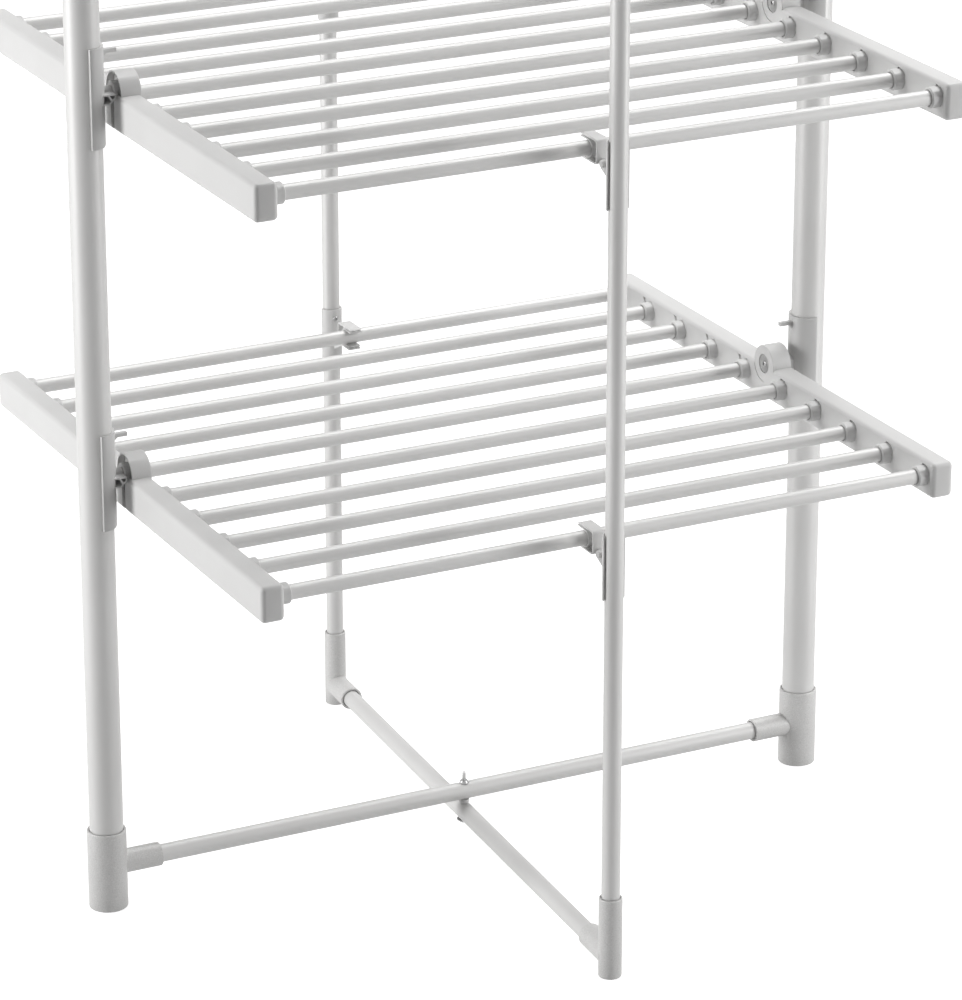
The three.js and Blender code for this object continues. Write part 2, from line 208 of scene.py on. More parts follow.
# Centre pivot. The forms of the rivet's head and nut are shares of their radius and height
RIVET_BASE = 4.1 * MM
RIVET_HEIGHT = 4 * MM
RIVET_RIM = 0.6 * MM
RIVET_NUT_FORM = ((0.92, 0.45), (0.72, 0.8))
RIVET_PIN_RADIUS = 1.58 * MM
RIVET_PIN_LENGTH = 7 * MM
RIVET_TIP = 0.8 * MM
RIVET_TIP_SHARE = 0.7
RIVET_HEAD_RADIUS = 6.5 * MM
RIVET_HEAD_HEIGHT = 3 * MM
RIVET_HEAD_FORM = ((0.7, 0.85), (1, 0.25))
SPACER_RADIUS = 4.6 * MM
SPACER_GAP = 0.2 * MM
DENT_DEPTH = 0.7 * MM
DENT_LENGTH = 9 * MM
DENT_REACH = 2.2
DENT_FADE = 0.62
DENT_STEPS = 12

# Base greys. Each flake grey has its place in the noise, its value and its warmth
TUBE_GREY = 0.66
RAIL_GREY = 0.67
BRACKET_GREY = 0.6
STEEL_GREY = 0.36
WASHER_GREY = 0.5
FLAKE_GREYS = ((0.3, 0.55, 0.02), (0.42, 0.62, 0.02), (0.58, 0.64, 0.02), (0.7, 0.71, 0.01))
GREEN_SHARE = 0.35

# The middle part of a noise, over which a colour or a roughness changes
NOISE_LOW = 0.3
NOISE_HIGH = 0.7

# Sockets of a colour mix
MIX_A = 6
MIX_B = 7
MIX_RESULT = 2

# Studio. Each lamp has its name, place, size and power
LAMPS = (
    ("key", (-3.2, 0.8, 1.2), (1.2, 2.4), 90),
    ("top", (1.2, 0.8, 3.4), (2.2, 2.2), 95),
    ("right", (2.1, -1.7, 1.0), (0.9, 2.0), 41),
)
LAMP_TARGET = (0, 0, 0.7)
WORLD_STRENGTH = 0.09
WHITE = (1, 1, 1, 1)
FLOOR_SIZE = 12
FLOOR_GREY = 0.5
FLOOR_ROUGHNESS = 0.9
FLOOR_GLOW = 0.86


# Places and sizes read from the frame

def low(node):
    return Vector(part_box(node)[0])


def high(node):
    return Vector(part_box(node)[1])


def middle(node):
    return (low(node) + high(node)) / 2


def rail_top(tier):
    return low(f"{tier}_rear_right_rail").z + RAIL_HEIGHT


def reach_along(node, axis, direction):
    """How far a CAD node reaches from an upright axis in a level direction."""
    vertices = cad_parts[node].data.vertices
    return max((Vector(vertex.co).xy - axis.xy).dot(direction.xy) for vertex in vertices)


leg_x = high("right_leg_foot").x - high("right_leg_foot").y
rail_outer = high("lower_rear_right_rail").x
rail_inner = rail_outer - RAIL_THICKNESS
rail_length = high("lower_rear_right_rail").y
bar_places = [middle(f"lower_rear_bar_{n + 1}").y for n in range(BARS_PER_WING)]
bar_drop = rail_top("lower") - middle("lower_rear_bar_1").z
pole_axis = {name: middle(f"{name}_pole").xy.to_3d() for name, _ in WINGS}
high_tube_z = middle("upper_base_tube").z
low_tube_z = middle("lower_base_tube").z


# Meshes

def arc(centre, radius, start, end, steps):
    """Points of an arc in the plane, angles in degrees, both ends included."""
    points = []
    for n in range(steps + 1):
        angle = math.radians(start + (end - start) * n / steps)
        points.append((centre[0] + radius * math.cos(angle), centre[1] + radius * math.sin(angle)))
    return points


def dome(radius, foot, height, step=90 / CORNER):
    """Profile points (radius, height) of a domed top from its rim up, step degrees apart."""
    angles = [math.radians(step * n) for n in range(CORNER)]
    return [(radius * math.cos(angle), foot + height * math.sin(angle)) for angle in angles]


def rounded_rectangle(left, right, bottom, top, radius):
    points = []
    corners = (
        ((right - radius, bottom + radius), -90),
        ((right - radius, top - radius), 0),
        ((left + radius, top - radius), 90),
        ((left + radius, bottom + radius), 180),
    )
    for centre, start in corners:
        points += arc(centre, radius, start, start + 90, CORNER)
    return points


def finished(bm):
    """The mesh of a bmesh with its faces turned outward. The bmesh is freed."""
    bmesh.ops.recalc_face_normals(bm, faces=bm.faces)
    mesh = bpy.data.meshes.new("form")
    bm.to_mesh(mesh)
    bm.free()
    return mesh


def shape(rings, closed_tube=False):
    """A closed mesh through rings of points, capped unless the rings close on themselves."""
    bm = bmesh.new()
    loops = [[bm.verts.new(point) for point in ring] for ring in rings]
    count = len(rings[0])
    pairs = list(zip(loops, loops[1:]))
    if closed_tube:
        pairs.append((loops[-1], loops[0]))
    for near, far in pairs:
        for n in range(count):
            after = (n + 1) % count
            bm.faces.new((near[n], near[after], far[after], far[n]))
    if not closed_tube:
        bm.faces.new(reversed(loops[0]))
        bm.faces.new(loops[-1])
    return finished(bm)


def turned(profile, sides=ROUND):
    """A revolved form about +Z. The profile of (radius, height) starts and ends on the axis."""
    bm = bmesh.new()
    loops = []
    for radius, height in profile:
        if radius == 0:
            loops.append([bm.verts.new((0, 0, height))])
            continue
        ring = arc((0, 0), radius, 0, 360, sides)[:-1]
        loops.append([bm.verts.new((x, y, height)) for x, y in ring])
    for near, far in zip(loops, loops[1:]):
        for n in range(sides):
            after = (n + 1) % sides
            if len(near) == 1 and len(far) == 1:
                continue
            if len(near) == 1:
                bm.faces.new((near[0], far[after], far[n]))
            elif len(far) == 1:
                bm.faces.new((near[n], near[after], far[0]))
            else:
                bm.faces.new((near[n], near[after], far[after], far[n]))
    return finished(bm)


def ring_form(profile, sides=ROUND):
    """A revolved form about +Z whose profile of (radius, height) closes on itself, like a tube."""
    rings = []
    for n in range(sides):
        angle = math.tau * n / sides
        rings.append([(r * math.cos(angle), r * math.sin(angle), h) for r, h in profile])
    return shape(rings, closed_tube=True)


def prism(outline, start, end, axis="Z"):
    """An outline swept from start to end. Its plane is XY, or YZ for axis X, or XZ for axis Y."""
    place = {
        "X": lambda u, v, along: (along, u, v),
        "Y": lambda u, v, along: (u, along, v),
        "Z": lambda u, v, along: (u, v, along),
    }[axis]
    return shape([[place(u, v, along) for u, v in outline] for along in (start, end)])


def tube_profile(radius, wall, bottom, top):
    inner = radius - wall
    return [
        (inner, bottom), (radius - TUBE_EDGE, bottom), (radius, bottom + TUBE_EDGE),
        (radius, top - TUBE_EDGE), (radius - TUBE_EDGE, top), (inner, top),
    ]


def rod(radius, bottom, top, sides=FINE, edge=0):
    if not edge:
        return turned([(0, bottom), (radius, bottom), (radius, top), (0, top)], sides)
    return turned([
        (0, bottom), (radius - edge, bottom), (radius, bottom + edge),
        (radius, top - edge), (radius - edge, top), (0, top),
    ], sides)


ALONG_X = Matrix.Rotation(math.pi / 2, 4, "Y")


def half_turn(sign):
    """A half turn about Z where sign is positive, and none otherwise."""
    return Matrix.Rotation(math.pi if sign > 0 else 0, 4, "Z")


def moved(mesh, matrix):
    mesh.transform(matrix)
    if matrix.determinant() < 0:
        mesh.flip_normals()
    return mesh


def rod_x(radius, start, end, y, z, sides=FINE, edge=0):
    first, last = sorted((start, end))
    return moved(rod(radius, first, last, sides, edge), Matrix.Translation((0, y, z)) @ ALONG_X)


def block(corner_a, corner_b):
    xs, ys, zs = (sorted(pair) for pair in zip(corner_a, corner_b))
    outline = [(xs[0], ys[0]), (xs[1], ys[0]), (xs[1], ys[1]), (xs[0], ys[1])]
    return prism(outline, zs[0], zs[1])


def new_object(name, data):
    item = bpy.data.objects.new(name, data)
    bpy.context.collection.objects.link(item)
    return item


def combined(base, steps):
    """base with each (operation, mesh) of steps applied to it in turn, as a new mesh."""
    target = new_object("target", base)
    tools = []
    for operation, mesh in steps:
        tool = new_object("tool", mesh)
        modifier = target.modifiers.new("step", "BOOLEAN")
        modifier.operation = operation
        modifier.solver = "EXACT"
        modifier.object = tool
        tools.append(tool)
    result = baked(target)
    for item in [target] + tools:
        bpy.data.objects.remove(item)
    return result


def baked(item):
    """The mesh of an object with its modifiers applied."""
    bpy.context.view_layer.update()
    graph = bpy.context.evaluated_depsgraph_get()
    return bpy.data.meshes.new_from_object(item.evaluated_get(graph))


def softened(mesh, width):
    """The same mesh with its sharp edges rounded by a small amount."""
    item = new_object("soft", mesh)
    modifier = item.modifiers.new("edges", "BEVEL")
    modifier.width = width
    modifier.segments = BEVEL_SEGMENTS
    modifier.limit_method = "ANGLE"
    modifier.angle_limit = BEVEL_ANGLE
    modifier.use_clamp_overlap = True
    modifier.miter_outer = "MITER_ARC"
    result = baked(item)
    bpy.data.objects.remove(item)
    return result


def piece(name, mesh, material, body, replaces=()):
    """A visible piece on a body and in the place of CAD nodes, if any."""
    mesh.name = name
    mesh.materials.clear()
    mesh.materials.append(material)
    mesh.shade_smooth()
    mesh.set_sharp_from_angle(angle=SMOOTH_ANGLE)
    item = new_object(name, mesh)
    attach(item, body)
    if replaces:
        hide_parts(*replaces)


# Materials

class Nodes:
    """Short calls for the shader nodes that the materials share."""

    def __init__(self, name):
        self.material = bpy.data.materials.new(name)
        self.material.use_nodes = True
        self.tree = self.material.node_tree
        self.shader = self.tree.nodes["Principled BSDF"]
        self.coordinates = self.add("ShaderNodeTexCoord").outputs["Object"]

    def add(self, kind, **values):
        node = self.tree.nodes.new(kind)
        for key, value in values.items():
            setattr(node, key, value)
        return node

    def link(self, source, target):
        self.tree.links.new(source, target)

    def metallic(self, value):
        self.shader.inputs["Metallic"].default_value = value

    def noise(self, scale, detail, stretch=(1, 1, 1)):
        mapping = self.add("ShaderNodeMapping")
        mapping.inputs["Scale"].default_value = stretch
        noise = self.add("ShaderNodeTexNoise")
        noise.inputs["Scale"].default_value = scale
        noise.inputs["Detail"].default_value = detail
        self.link(self.coordinates, mapping.inputs["Vector"])
        self.link(mapping.outputs["Vector"], noise.inputs["Vector"])
        return noise.outputs["Fac"]

    def ramp(self, factor, stops):
        ramp = self.add("ShaderNodeValToRGB")
        while len(ramp.color_ramp.elements) < len(stops):
            ramp.color_ramp.elements.new(0.5)
        for element, (position, colour) in zip(ramp.color_ramp.elements, stops):
            element.position = position
            element.color = (*colour, 1)
        self.link(factor, ramp.inputs["Fac"])
        return ramp.outputs["Color"]

    def two_tone(self, factor, dark, light):
        return self.ramp(factor, [(NOISE_LOW, dark), (NOISE_HIGH, light)])

    def colour(self, source):
        self.link(source, self.shader.inputs["Base Color"])

    def roughness(self, factor, least, most):
        spread = self.add("ShaderNodeMapRange")
        spread.inputs["From Min"].default_value = NOISE_LOW
        spread.inputs["From Max"].default_value = NOISE_HIGH
        spread.inputs["To Min"].default_value = least
        spread.inputs["To Max"].default_value = most
        self.link(factor, spread.inputs["Value"])
        self.link(spread.outputs["Result"], self.shader.inputs["Roughness"])

    def bump(self, layers):
        """Bump from (height, strength, distance) layers, one over the other."""
        normal = None
        for height, strength, distance in layers:
            bump = self.add("ShaderNodeBump")
            bump.inputs["Strength"].default_value = strength
            bump.inputs["Distance"].default_value = distance
            self.link(height, bump.inputs["Height"])
            if normal:
                self.link(normal, bump.inputs["Normal"])
            normal = bump.outputs["Normal"]
        self.link(normal, self.shader.inputs["Normal"])


def grey(value, warmth=0.0):
    """A grey. Warmth takes its share from blue, and GREEN_SHARE of it from green."""
    return (value, value * (1 - warmth * GREEN_SHARE), value * (1 - warmth))


def tube_material(name, stretch):
    """Satin silver tube: drawing lines along the tube, faint clouding and fine grain."""
    nodes = Nodes(name)
    lines = nodes.noise(scale=900, detail=4, stretch=stretch)
    clouds = nodes.noise(scale=9, detail=2)
    grain = nodes.noise(scale=2600, detail=2)
    dark = grey(TUBE_GREY * 0.97, 0.02)
    light = grey(TUBE_GREY * 1.03, 0.015)
    nodes.colour(nodes.two_tone(clouds, dark, light))
    nodes.roughness(lines, 0.44, 0.54)
    nodes.metallic(0.2)
    nodes.bump([(lines, 0.05, 0.05 * MM), (grain, 0.06, 0.04 * MM)])
    return nodes.material


def plastic_material(name, value, roughness):
    """Light grey moulded plastic with a fine spark-eroded texture and soft flow clouds."""
    nodes = Nodes(name)
    clouds = nodes.noise(scale=14, detail=3)
    texture = nodes.noise(scale=1900, detail=5)
    coarse = nodes.noise(scale=420, detail=2)
    nodes.colour(nodes.two_tone(clouds, grey(value * 0.98, 0.015), grey(value * 1.02, 0.012)))
    nodes.roughness(texture, roughness - 0.05, roughness + 0.07)
    nodes.bump([(texture, 0.16, 0.06 * MM), (coarse, 0.05, 0.08 * MM)])
    return nodes.material


def foot_material():
    """Silver-grey plastic with fine light and dark flakes moulded in."""
    nodes = Nodes("foot_plastic")
    flakes = nodes.noise(scale=950, detail=2)
    clouds = nodes.noise(scale=18, detail=3)
    texture = nodes.noise(scale=1500, detail=4)
    stops = [(place, grey(value, warmth)) for place, value, warmth in FLAKE_GREYS]
    speckle = nodes.ramp(flakes, stops)
    shade = nodes.two_tone(clouds, grey(0.96), grey(1.0))
    mix = nodes.add("ShaderNodeMix", data_type="RGBA", blend_type="MULTIPLY")
    mix.inputs["Factor"].default_value = 1
    nodes.link(speckle, mix.inputs[MIX_A])
    nodes.link(shade, mix.inputs[MIX_B])
    nodes.colour(mix.outputs[MIX_RESULT])
    nodes.roughness(texture, 0.42, 0.54)
    nodes.metallic(0.15)
    nodes.bump([(texture, 0.12, 0.06 * MM), (flakes, 0.05, 0.05 * MM)])
    return nodes.material


def steel_material(name, value, roughness):
    """Bright plated steel with faint turning marks."""
    nodes = Nodes(name)
    marks = nodes.noise(scale=1400, detail=3, stretch=(1, 1, 0.2))
    clouds = nodes.noise(scale=60, detail=2)
    nodes.colour(nodes.two_tone(clouds, grey(value * 0.93, 0.01), grey(value * 1.04)))
    nodes.roughness(marks, roughness - 0.05, roughness + 0.08)
    nodes.metallic(1)
    nodes.bump([(marks, 0.08, 0.03 * MM)])
    return nodes.material


UPRIGHT_TUBE = tube_material("upright_tube", stretch=(1, 1, 0.01))
CROSS_TUBE = tube_material("cross_tube", stretch=(0.01, 1, 1))
DEPTH_TUBE = tube_material("depth_tube", stretch=(1, 0.01, 1))
PLASTIC = plastic_material("rail_plastic", RAIL_GREY, roughness=0.46)
BRACKET_PLASTIC = plastic_material("bracket_plastic", BRACKET_GREY, roughness=0.44)
FOOT_PLASTIC = foot_material()
STEEL = steel_material("pivot_steel", STEEL_GREY, roughness=0.3)
WASHER_STEEL = steel_material("washer_steel", WASHER_GREY, roughness=0.36)


# Legs, poles and caps

def upright(node, body, axis, radius, wall, top):
    """A leg or pole tube and its cap. Its CAD node ends with the cap's crown."""
    tube_top = top - CAP_SKIRT - CAP_CROWN
    place = Matrix.Translation((axis.x, axis.y, 0))
    tube = moved(ring_form(tube_profile(radius, wall, low(node).z, tube_top)), place)
    piece(f"{node}_tube", tube, UPRIGHT_TUBE, body, (node,))
    outer = radius + CAP_LIP
    crown = dome(outer, top - CAP_CROWN, CAP_CROWN)
    cap = turned([
        (0, tube_top), (outer - TUBE_EDGE, tube_top), (outer, tube_top + TUBE_EDGE),
        *crown, (0, top),
    ])
    piece(f"{node}_cap", moved(cap, place), PLASTIC, body)


def foot(node, body, tube_axis, tube_radius, base_height, direction):
    """T fitting: a sleeve with a thin rim round the leg, and a socket for the base tube."""
    top = high(node).z
    radius = reach_along(node, tube_axis, -direction)
    reach = reach_along(node, tube_axis, direction)
    bore = tube_radius + FOOT_GAP
    rim = arc((radius - FOOT_RIM_EDGE, top - FOOT_RIM_EDGE), FOOT_RIM_EDGE, 0, 90, CORNER)
    slant = FOOT_EDGE_SHARE * FOOT_EDGE
    sleeve = turned([
        (0, 0), (radius - FOOT_EDGE, 0), (radius - slant, slant), (radius, FOOT_EDGE),
        *rim, (0, top),
    ])
    socket = rod(BASE_RADIUS + SOCKET_GAP + SOCKET_WALL, 0, reach, FINE, SOCKET_EDGE)
    lift = Matrix.Translation((0, 0, base_height)) @ ALONG_X
    hole = rod(BASE_RADIUS + SOCKET_GAP, reach - SOCKET_BORE_DEPTH, reach + LONG_OVERRUN, FINE)
    tee = combined(sleeve, [
        ("UNION", moved(socket, lift)),
        ("DIFFERENCE", rod(bore, top - FOOT_BORE_DEPTH, top + LONG_OVERRUN, ROUND)),
        ("DIFFERENCE", moved(hole, lift)),
    ])
    turn = math.atan2(direction.y, direction.x)
    place = Matrix.Translation((tube_axis.x, tube_axis.y, 0)) @ Matrix.Rotation(turn, 4, "Z")
    name = node.replace("_foot", "_fitting")
    piece(name, moved(tee, place), FOOT_PLASTIC, body, (node,))


def make_uprights():
    top = high("left_leg").z
    for side_name, side in SIDES:
        node = f"{side_name}_leg"
        axis = Vector((side * leg_x, 0, 0))
        upright(node, "main_frame", axis, LEG_RADIUS, LEG_WALL, top)
        foot(f"{node}_foot", "main_frame", axis, LEG_RADIUS, high_tube_z, Vector((-side, 0, 0)))
    for wing_name, _ in WINGS:
        node = f"{wing_name}_pole"
        axis = pole_axis[wing_name]
        upright(node, "cross_frame", axis, POLE_RADIUS, POLE_WALL, top)
        foot(f"{node}_foot", "cross_frame", axis, POLE_RADIUS, low_tube_z, -axis.normalized())


# Hinge brackets and pins

def bracket_mesh():
    """Bracket with its leg at x = 0 and the wings towards +X. z = 0 is the rail top."""
    bore = LEG_RADIUS + BRACKET_GAP
    outer_wrap = BRACKET_WRAP - BRACKET_LIP
    outline = arc((0, 0), BRACKET_RADIUS, -outer_wrap, outer_wrap, FINE)
    outline += arc((0, 0), bore, BRACKET_WRAP, -BRACKET_WRAP, FINE)
    sleeve = prism(outline, -BRACKET_REACH, BRACKET_REACH)
    side_view = [(-LEG_RADIUS, BRACKET_REACH), (-LEG_RADIUS, -BRACKET_REACH)]
    side_view += arc((BRACKET_RADIUS - BRACKET_CORNER, -BRACKET_REACH + BRACKET_CORNER),
                     BRACKET_CORNER, -90, 0, CORNER)
    side_view += [(BRACKET_RADIUS, BRACKET_REACH)]
    seat = (LEG_RADIUS + BRACKET_RADIUS) / 2
    arm_end = leg_x - rail_outer - RUNNING_GAP
    arm_bottom = ARM_TOP - ARM_DEPTH
    arm = prism([
        (0, arm_bottom), (arm_end - ARM_CHAMFER, arm_bottom), (arm_end, arm_bottom + ARM_CHAMFER),
        (arm_end, ARM_TOP), (0, ARM_TOP),
    ], -ARM_WIDTH / 2, BOSS_RADIUS, "Y")
    ceiling = ARM_TOP - ARM_WALL
    floor = arm_bottom + ARM_WALL
    slant_rise = arm_bottom + ARM_CHAMFER + ARM_WALL * math.sqrt(2) - arm_end
    half_rib = ARM_WALL / 2
    pockets = [
        [(ARM_POCKET_START, ceiling), (ARM_POCKET_START, floor), (floor - slant_rise, floor),
         (ARM_RIB_FOOT - half_rib, ARM_RIB_FOOT - half_rib + slant_rise),
         (ARM_RIB_TOP - half_rib, ceiling)],
        [(ARM_RIB_TOP + half_rib, ceiling),
         (ARM_RIB_FOOT + half_rib, ARM_RIB_FOOT + half_rib + slant_rise),
         (arm_end - ARM_WALL, arm_end - ARM_WALL + slant_rise), (arm_end - ARM_WALL, ceiling)],
    ]
    cuts = [("DIFFERENCE", rod(bore, -BRACKET_REACH, BRACKET_REACH, ROUND))]
    for hollow in pockets:
        cuts.append(("DIFFERENCE", prism(hollow, -ARM_WIDTH, -ARM_MIDDLE_WALL, "Y")))
    tab_bottom = TAB_TOP - TAB_THICKNESS
    tab = prism([
        (seat, TAB_TOP), (seat, tab_bottom - TAB_GUSSET), (BRACKET_RADIUS, tab_bottom - TAB_GUSSET),
        (BRACKET_RADIUS + TAB_GUSSET, tab_bottom), (TAB_REACH, tab_bottom), (TAB_REACH, TAB_TOP),
    ], -TAB_WIDTH / 2, TAB_WIDTH / 2, "Y")
    width = BRACKET_RADIUS + OVERRUN
    trimmed = combined(sleeve, [("INTERSECT", prism(side_view, -width, width, "Y"))])
    whole = combined(trimmed, [
        ("UNION", combined(arm, cuts)),
        ("UNION", tab),
        ("UNION", rod_x(BOSS_RADIUS, seat, arm_end, 0, PIVOT_RISE, SMALL)),
    ])
    return softened(whole, BRACKET_EDGE)


def pin_meshes():
    """Washer and screw head of a hinge pin, standing on z = 0 and facing +Z."""
    seat = WASHER_HEIGHT - WASHER_DISH
    washer = turned([
        (0, 0), (WASHER_RADIUS, 0), (WASHER_RADIUS, WASHER_HEIGHT - WASHER_EDGE),
        (WASHER_RADIUS - WASHER_EDGE, WASHER_HEIGHT),
        (SCREW_RADIUS + SCREW_MARGIN, seat), (0, seat),
    ], FINE)
    head = dome(SCREW_RADIUS, seat, SCREW_HEIGHT)
    screw = turned([(0, seat), *head, (0, seat + SCREW_HEIGHT)], SMALL)
    slot_floor = seat + SCREW_HEIGHT - SCREW_SLOT_DEPTH
    reach = SCREW_RADIUS * SCREW_SLOT_SHARE
    half = SCREW_SLOT_WIDTH / 2
    top = seat + SCREW_HEIGHT + OVERRUN
    cross = [
        ("DIFFERENCE", block((-reach, -half, slot_floor), (reach, half, top))),
        ("DIFFERENCE", block((-half, -reach, slot_floor), (half, reach, top))),
    ]
    return washer, combined(screw, cross)


def make_brackets():
    bracket = bracket_mesh()
    washer, screw = pin_meshes()
    for tier_number, tier in enumerate(TIERS):
        top = rail_top(tier)
        for side_name, side in SIDES:
            name = f"{tier}_{side_name}"
            place = Matrix.Translation((side * leg_x, 0, top)) @ half_turn(side)
            mesh = moved(bracket.copy(), place)
            piece(f"{name}_bracket", mesh, BRACKET_PLASTIC, "main_frame")
            floor = side * (rail_inner + HEAD_RECESS_DEPTH + WASHER_SINK)
            seat = Matrix.Translation((floor, 0, top + PIVOT_RISE))
            turn = Matrix.Rotation(-side * math.pi / 2, 4, "Y")
            tilt = Matrix.Rotation(math.radians(SCREW_TURN + SCREW_TURN_STEP * tier_number), 4, "Z")
            mesh = moved(washer.copy(), seat @ turn)
            piece(f"{name}_washer", mesh, WASHER_STEEL, "main_frame")
            mesh = moved(screw.copy(), seat @ turn @ tilt)
            piece(f"{name}_screw", mesh, STEEL, "main_frame")


# Wings

def rail_body(side, way):
    """Rounded rail from its hinge end to its rounded free end, with z = 0 at the rail top."""
    inner, outer = sorted((side * rail_inner, side * rail_outer))
    start = RUNNING_GAP / 2
    straight = rail_length - RAIL_END_ROUND
    sections = [(start, 0), (straight, 0)]
    for n in range(1, CORNER + 1):
        angle = math.radians(90 * n / CORNER)
        along = straight + RAIL_END_ROUND * math.sin(angle)
        sections.append((along, RAIL_END_ROUND * (1 - math.cos(angle))))
    rings = []
    for along, inset in sections:
        radius = max(RAIL_ROUND - inset, RAIL_LEAST_ROUND)
        bottom = -RAIL_HEIGHT + inset
        outline = rounded_rectangle(inner + inset, outer - inset, bottom, -inset, radius)
        rings.append([(x, way * along, z) for x, z in outline])
    return shape(rings)


def about_pivot(radius, start, end, edge=0):
    """A round form along X on the hinge line."""
    return rod_x(radius, start, end, 0, PIVOT_RISE, ROUND, edge)


def rail_mesh(side, way):
    """Rail with its part of the hinge, its pockets and its bored collars."""
    knuckle_face = side * (rail_inner + KNUCKLE_WIDTH)
    beyond = side * (rail_outer + LONG_OVERRUN)
    before = side * (rail_inner - BORE_OVERRUN)
    cup_floor = side * (rail_inner + KNUCKLE_FLOOR)
    if way < 0:
        shoulder = block((knuckle_face, -RAIL_HEIGHT, -RAIL_HEIGHT),
                         (beyond + side * OVERRUN, -RAIL_SHOULDER, 0))
        cup = combined(about_pivot(KNUCKLE_RADIUS - KNUCKLE_WALL, cup_floor, beyond),
                       [("DIFFERENCE", shoulder)])
        lug_room = block((knuckle_face, -RAIL_SHOULDER, -RAIL_HEIGHT - OVERRUN),
                         (beyond, RAIL_HEIGHT, RAIL_HEIGHT))
        recess_floor = side * (rail_inner + HEAD_RECESS_DEPTH)
        steps = [
            ("UNION", knuckle(side)),
            ("DIFFERENCE", lug_room),
            ("DIFFERENCE", cup),
            ("DIFFERENCE", about_pivot(LUG_RADIUS + RUNNING_GAP, cup_floor, beyond)),
            ("DIFFERENCE", about_pivot(HEAD_RECESS_RADIUS, before, recess_floor)),
        ]
    else:
        room = knuckle_face + side * RUNNING_GAP
        lug_face = cup_floor + side * RUNNING_GAP
        steps = [
            ("DIFFERENCE", about_pivot(KNUCKLE_RADIUS + RUNNING_GAP, before, room)),
            ("UNION", about_pivot(LUG_RADIUS, lug_face, side * rail_outer, LUG_EDGE)),
        ]
    collar_end = side * (rail_inner - COLLAR_LENGTH)
    collar_root = side * rail_inner + side * COLLAR_ROOT
    bore_floor = collar_end + side * COLLAR_BORE_DEPTH
    for place in bar_places:
        steps.append(("DIFFERENCE", pocket(side, way, place)))
    for y in (way * place for place in bar_places):
        collar = rod_x(COLLAR_RADIUS, collar_end, collar_root, y, -bar_drop, FINE, COLLAR_EDGE)
        steps.append(("UNION", collar))
    for y in (way * place for place in bar_places):
        steps.append(("DIFFERENCE", rod_x(COLLAR_BORE, before, bore_floor, y, -bar_drop, FINE)))
    return softened(combined(rail_body(side, way), steps), RAIL_EDGE)


def knuckle(side):
    """The front rail's hinge barrel, with a soft edge at the rail's inner face."""
    edge = arc((KNUCKLE_RADIUS - KNUCKLE_EDGE, KNUCKLE_EDGE), KNUCKLE_EDGE, -90, 0, CORNER)
    barrel = turned([(0, 0), *edge, (KNUCKLE_RADIUS, KNUCKLE_WIDTH), (0, KNUCKLE_WIDTH)])
    place = Matrix.Translation((side * rail_inner, 0, PIVOT_RISE))
    return moved(barrel, place @ Matrix.Rotation(side * math.pi / 2, 4, "Y"))


def pocket(side, way, place):
    """Mould pocket over a collar in the rail's inner face, deeper and further out at its top."""
    front = side * (rail_inner - POCKET_FRONT)
    rings = []
    levels = ((-bar_drop, POCKET_LEAST_DEPTH, 0), (-POCKET_TOP_GAP, POCKET_DEPTH, POCKET_LEAN))
    for z, depth, lean in levels:
        back = side * (rail_inner + depth)
        near = way * (place + lean - POCKET_WIDTH / 2)
        far = way * (place + lean + POCKET_WIDTH / 2)
        rings.append([(front, near, z), (back, near, z), (back, far, z), (front, far, z)])
    return shape(rings)


def make_wings():
    rails = {(way, side): rail_mesh(side, way) for _, way in WINGS for _, side in SIDES}
    half = high("lower_front_bar_1").x
    bar = moved(ring_form(tube_profile(BAR_RADIUS, BAR_WALL, -half, half), FINE), ALONG_X)
    for tier in TIERS:
        for wing_name, way in WINGS:
            body = f"{tier}_{wing_name}_wing"
            for side_name, side in SIDES:
                node = f"{tier}_{wing_name}_{side_name}_rail"
                mesh = moved(rails[(way, side)].copy(), Matrix.Translation((0, 0, rail_top(tier))))
                piece(f"{node}_moulding", mesh, PLASTIC, body, (node,))
            for n in range(BARS_PER_WING):
                node = f"{tier}_{wing_name}_bar_{n + 1}"
                centre = middle(node)
                mesh = moved(bar.copy(), Matrix.Translation((0, centre.y, centre.z)))
                piece(f"{node}_tube", mesh, CROSS_TUBE, body, (node,))


# Clips

